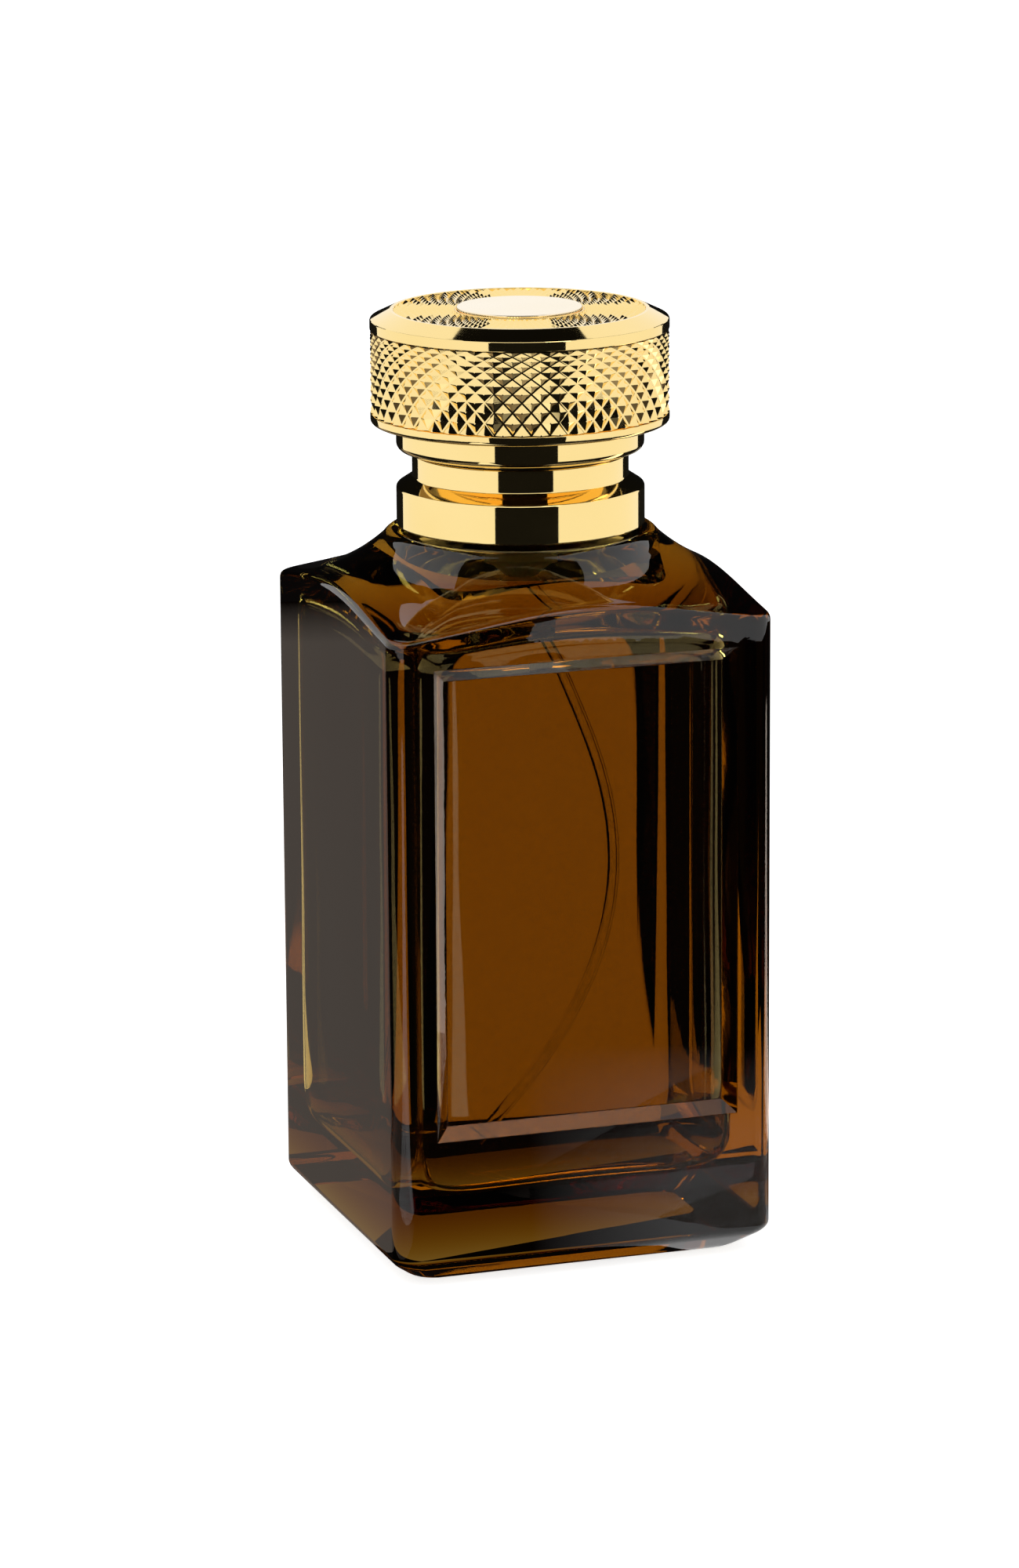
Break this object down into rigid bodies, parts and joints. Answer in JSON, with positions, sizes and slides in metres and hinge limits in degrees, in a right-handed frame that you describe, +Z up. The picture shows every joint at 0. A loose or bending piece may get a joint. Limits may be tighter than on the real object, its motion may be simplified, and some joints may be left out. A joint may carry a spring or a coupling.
{
  "type": "perfume bottle",
  "caption": "Square amber glass spray bottle with a recessed front panel, crimped pump, stepped gold collar and lift-off weighted knurled gold cap.",
  "frame": {"origin": "centre of the base, on the surface the bottle stands on", "axes": "+Z up through the neck and cap, -Y out of the face with the recessed panel, +X to the right seen from that face"},
  "size_m": [0.05, 0.05, 0.1186],
  "materials": {
    "amber_glass": "polished, see-through amber",
    "natural_plastic": "translucent natural polypropylene",
    "piston_plastic": "natural polyethylene",
    "tube_plastic": "translucent extruded polyethylene",
    "seal_rubber": "matte black rubber",
    "spring_steel": "drawn stainless wire",
    "anodised_gold": "bright gold anodised",
    "black_plastic": "moulded satin black",
    "grip_rubber": "soft black elastomer",
    "polished_gold": "polished gold",
    "medallion_gold": "pale gold, fine satin",
    "weight_steel": "turned mild steel"
  },
  "bodies": {
    "bottle": {"glass_bottle": "amber_glass", "neck_gasket": "seal_rubber", "crimp_ferrule": "anodised_gold", "pump_housing": "natural_plastic", "pump_closure": "natural_plastic", "stem_seal": "seal_rubber", "return_spring": "spring_steel", "dip_tube": "tube_plastic", "collar_shell": "polished_gold", "collar_sleeve": "black_plastic"},
    "pump_ball": {"check_ball": "spring_steel"},
    "pump_stem": {"stem": "natural_plastic", "piston": "piston_plastic"},
    "spray_head": {"actuator_core": "black_plastic", "actuator_shell": "anodised_gold", "nozzle_insert": "black_plastic"},
    "cap": {"cap_body": "polished_gold", "knurled_sleeve": "polished_gold", "cap_top": "polished_gold", "cap_medallion": "medallion_gold", "cap_weight": "weight_steel", "cap_liner": "black_plastic", "cap_grip_ring": "grip_rubber"}
  },
  "joints": [
    {"name": "cap_lift", "type": "slide", "parent": "bottle", "child": "cap", "axis": [0, 0, 1], "range_m": [0, 0.04]},
    {"name": "head_press", "type": "slide", "parent": "bottle", "child": "pump_stem", "axis": [0, 0, -1], "range_m": [0, 0.0035], "stiffness_N_per_m": 1500, "springref_m": -0.003, "deforming": ["return_spring"]},
    {"name": "head_turn", "type": "hinge", "parent": "pump_stem", "child": "spray_head", "pos_m": [0, 0, 0.108], "axis": [0, 0, 1], "continuous": true},
    {"name": "ball_lift", "type": "slide", "parent": "bottle", "child": "pump_ball", "axis": [0, 0, 1], "range_m": [0, 0.0006]}
  ]
}
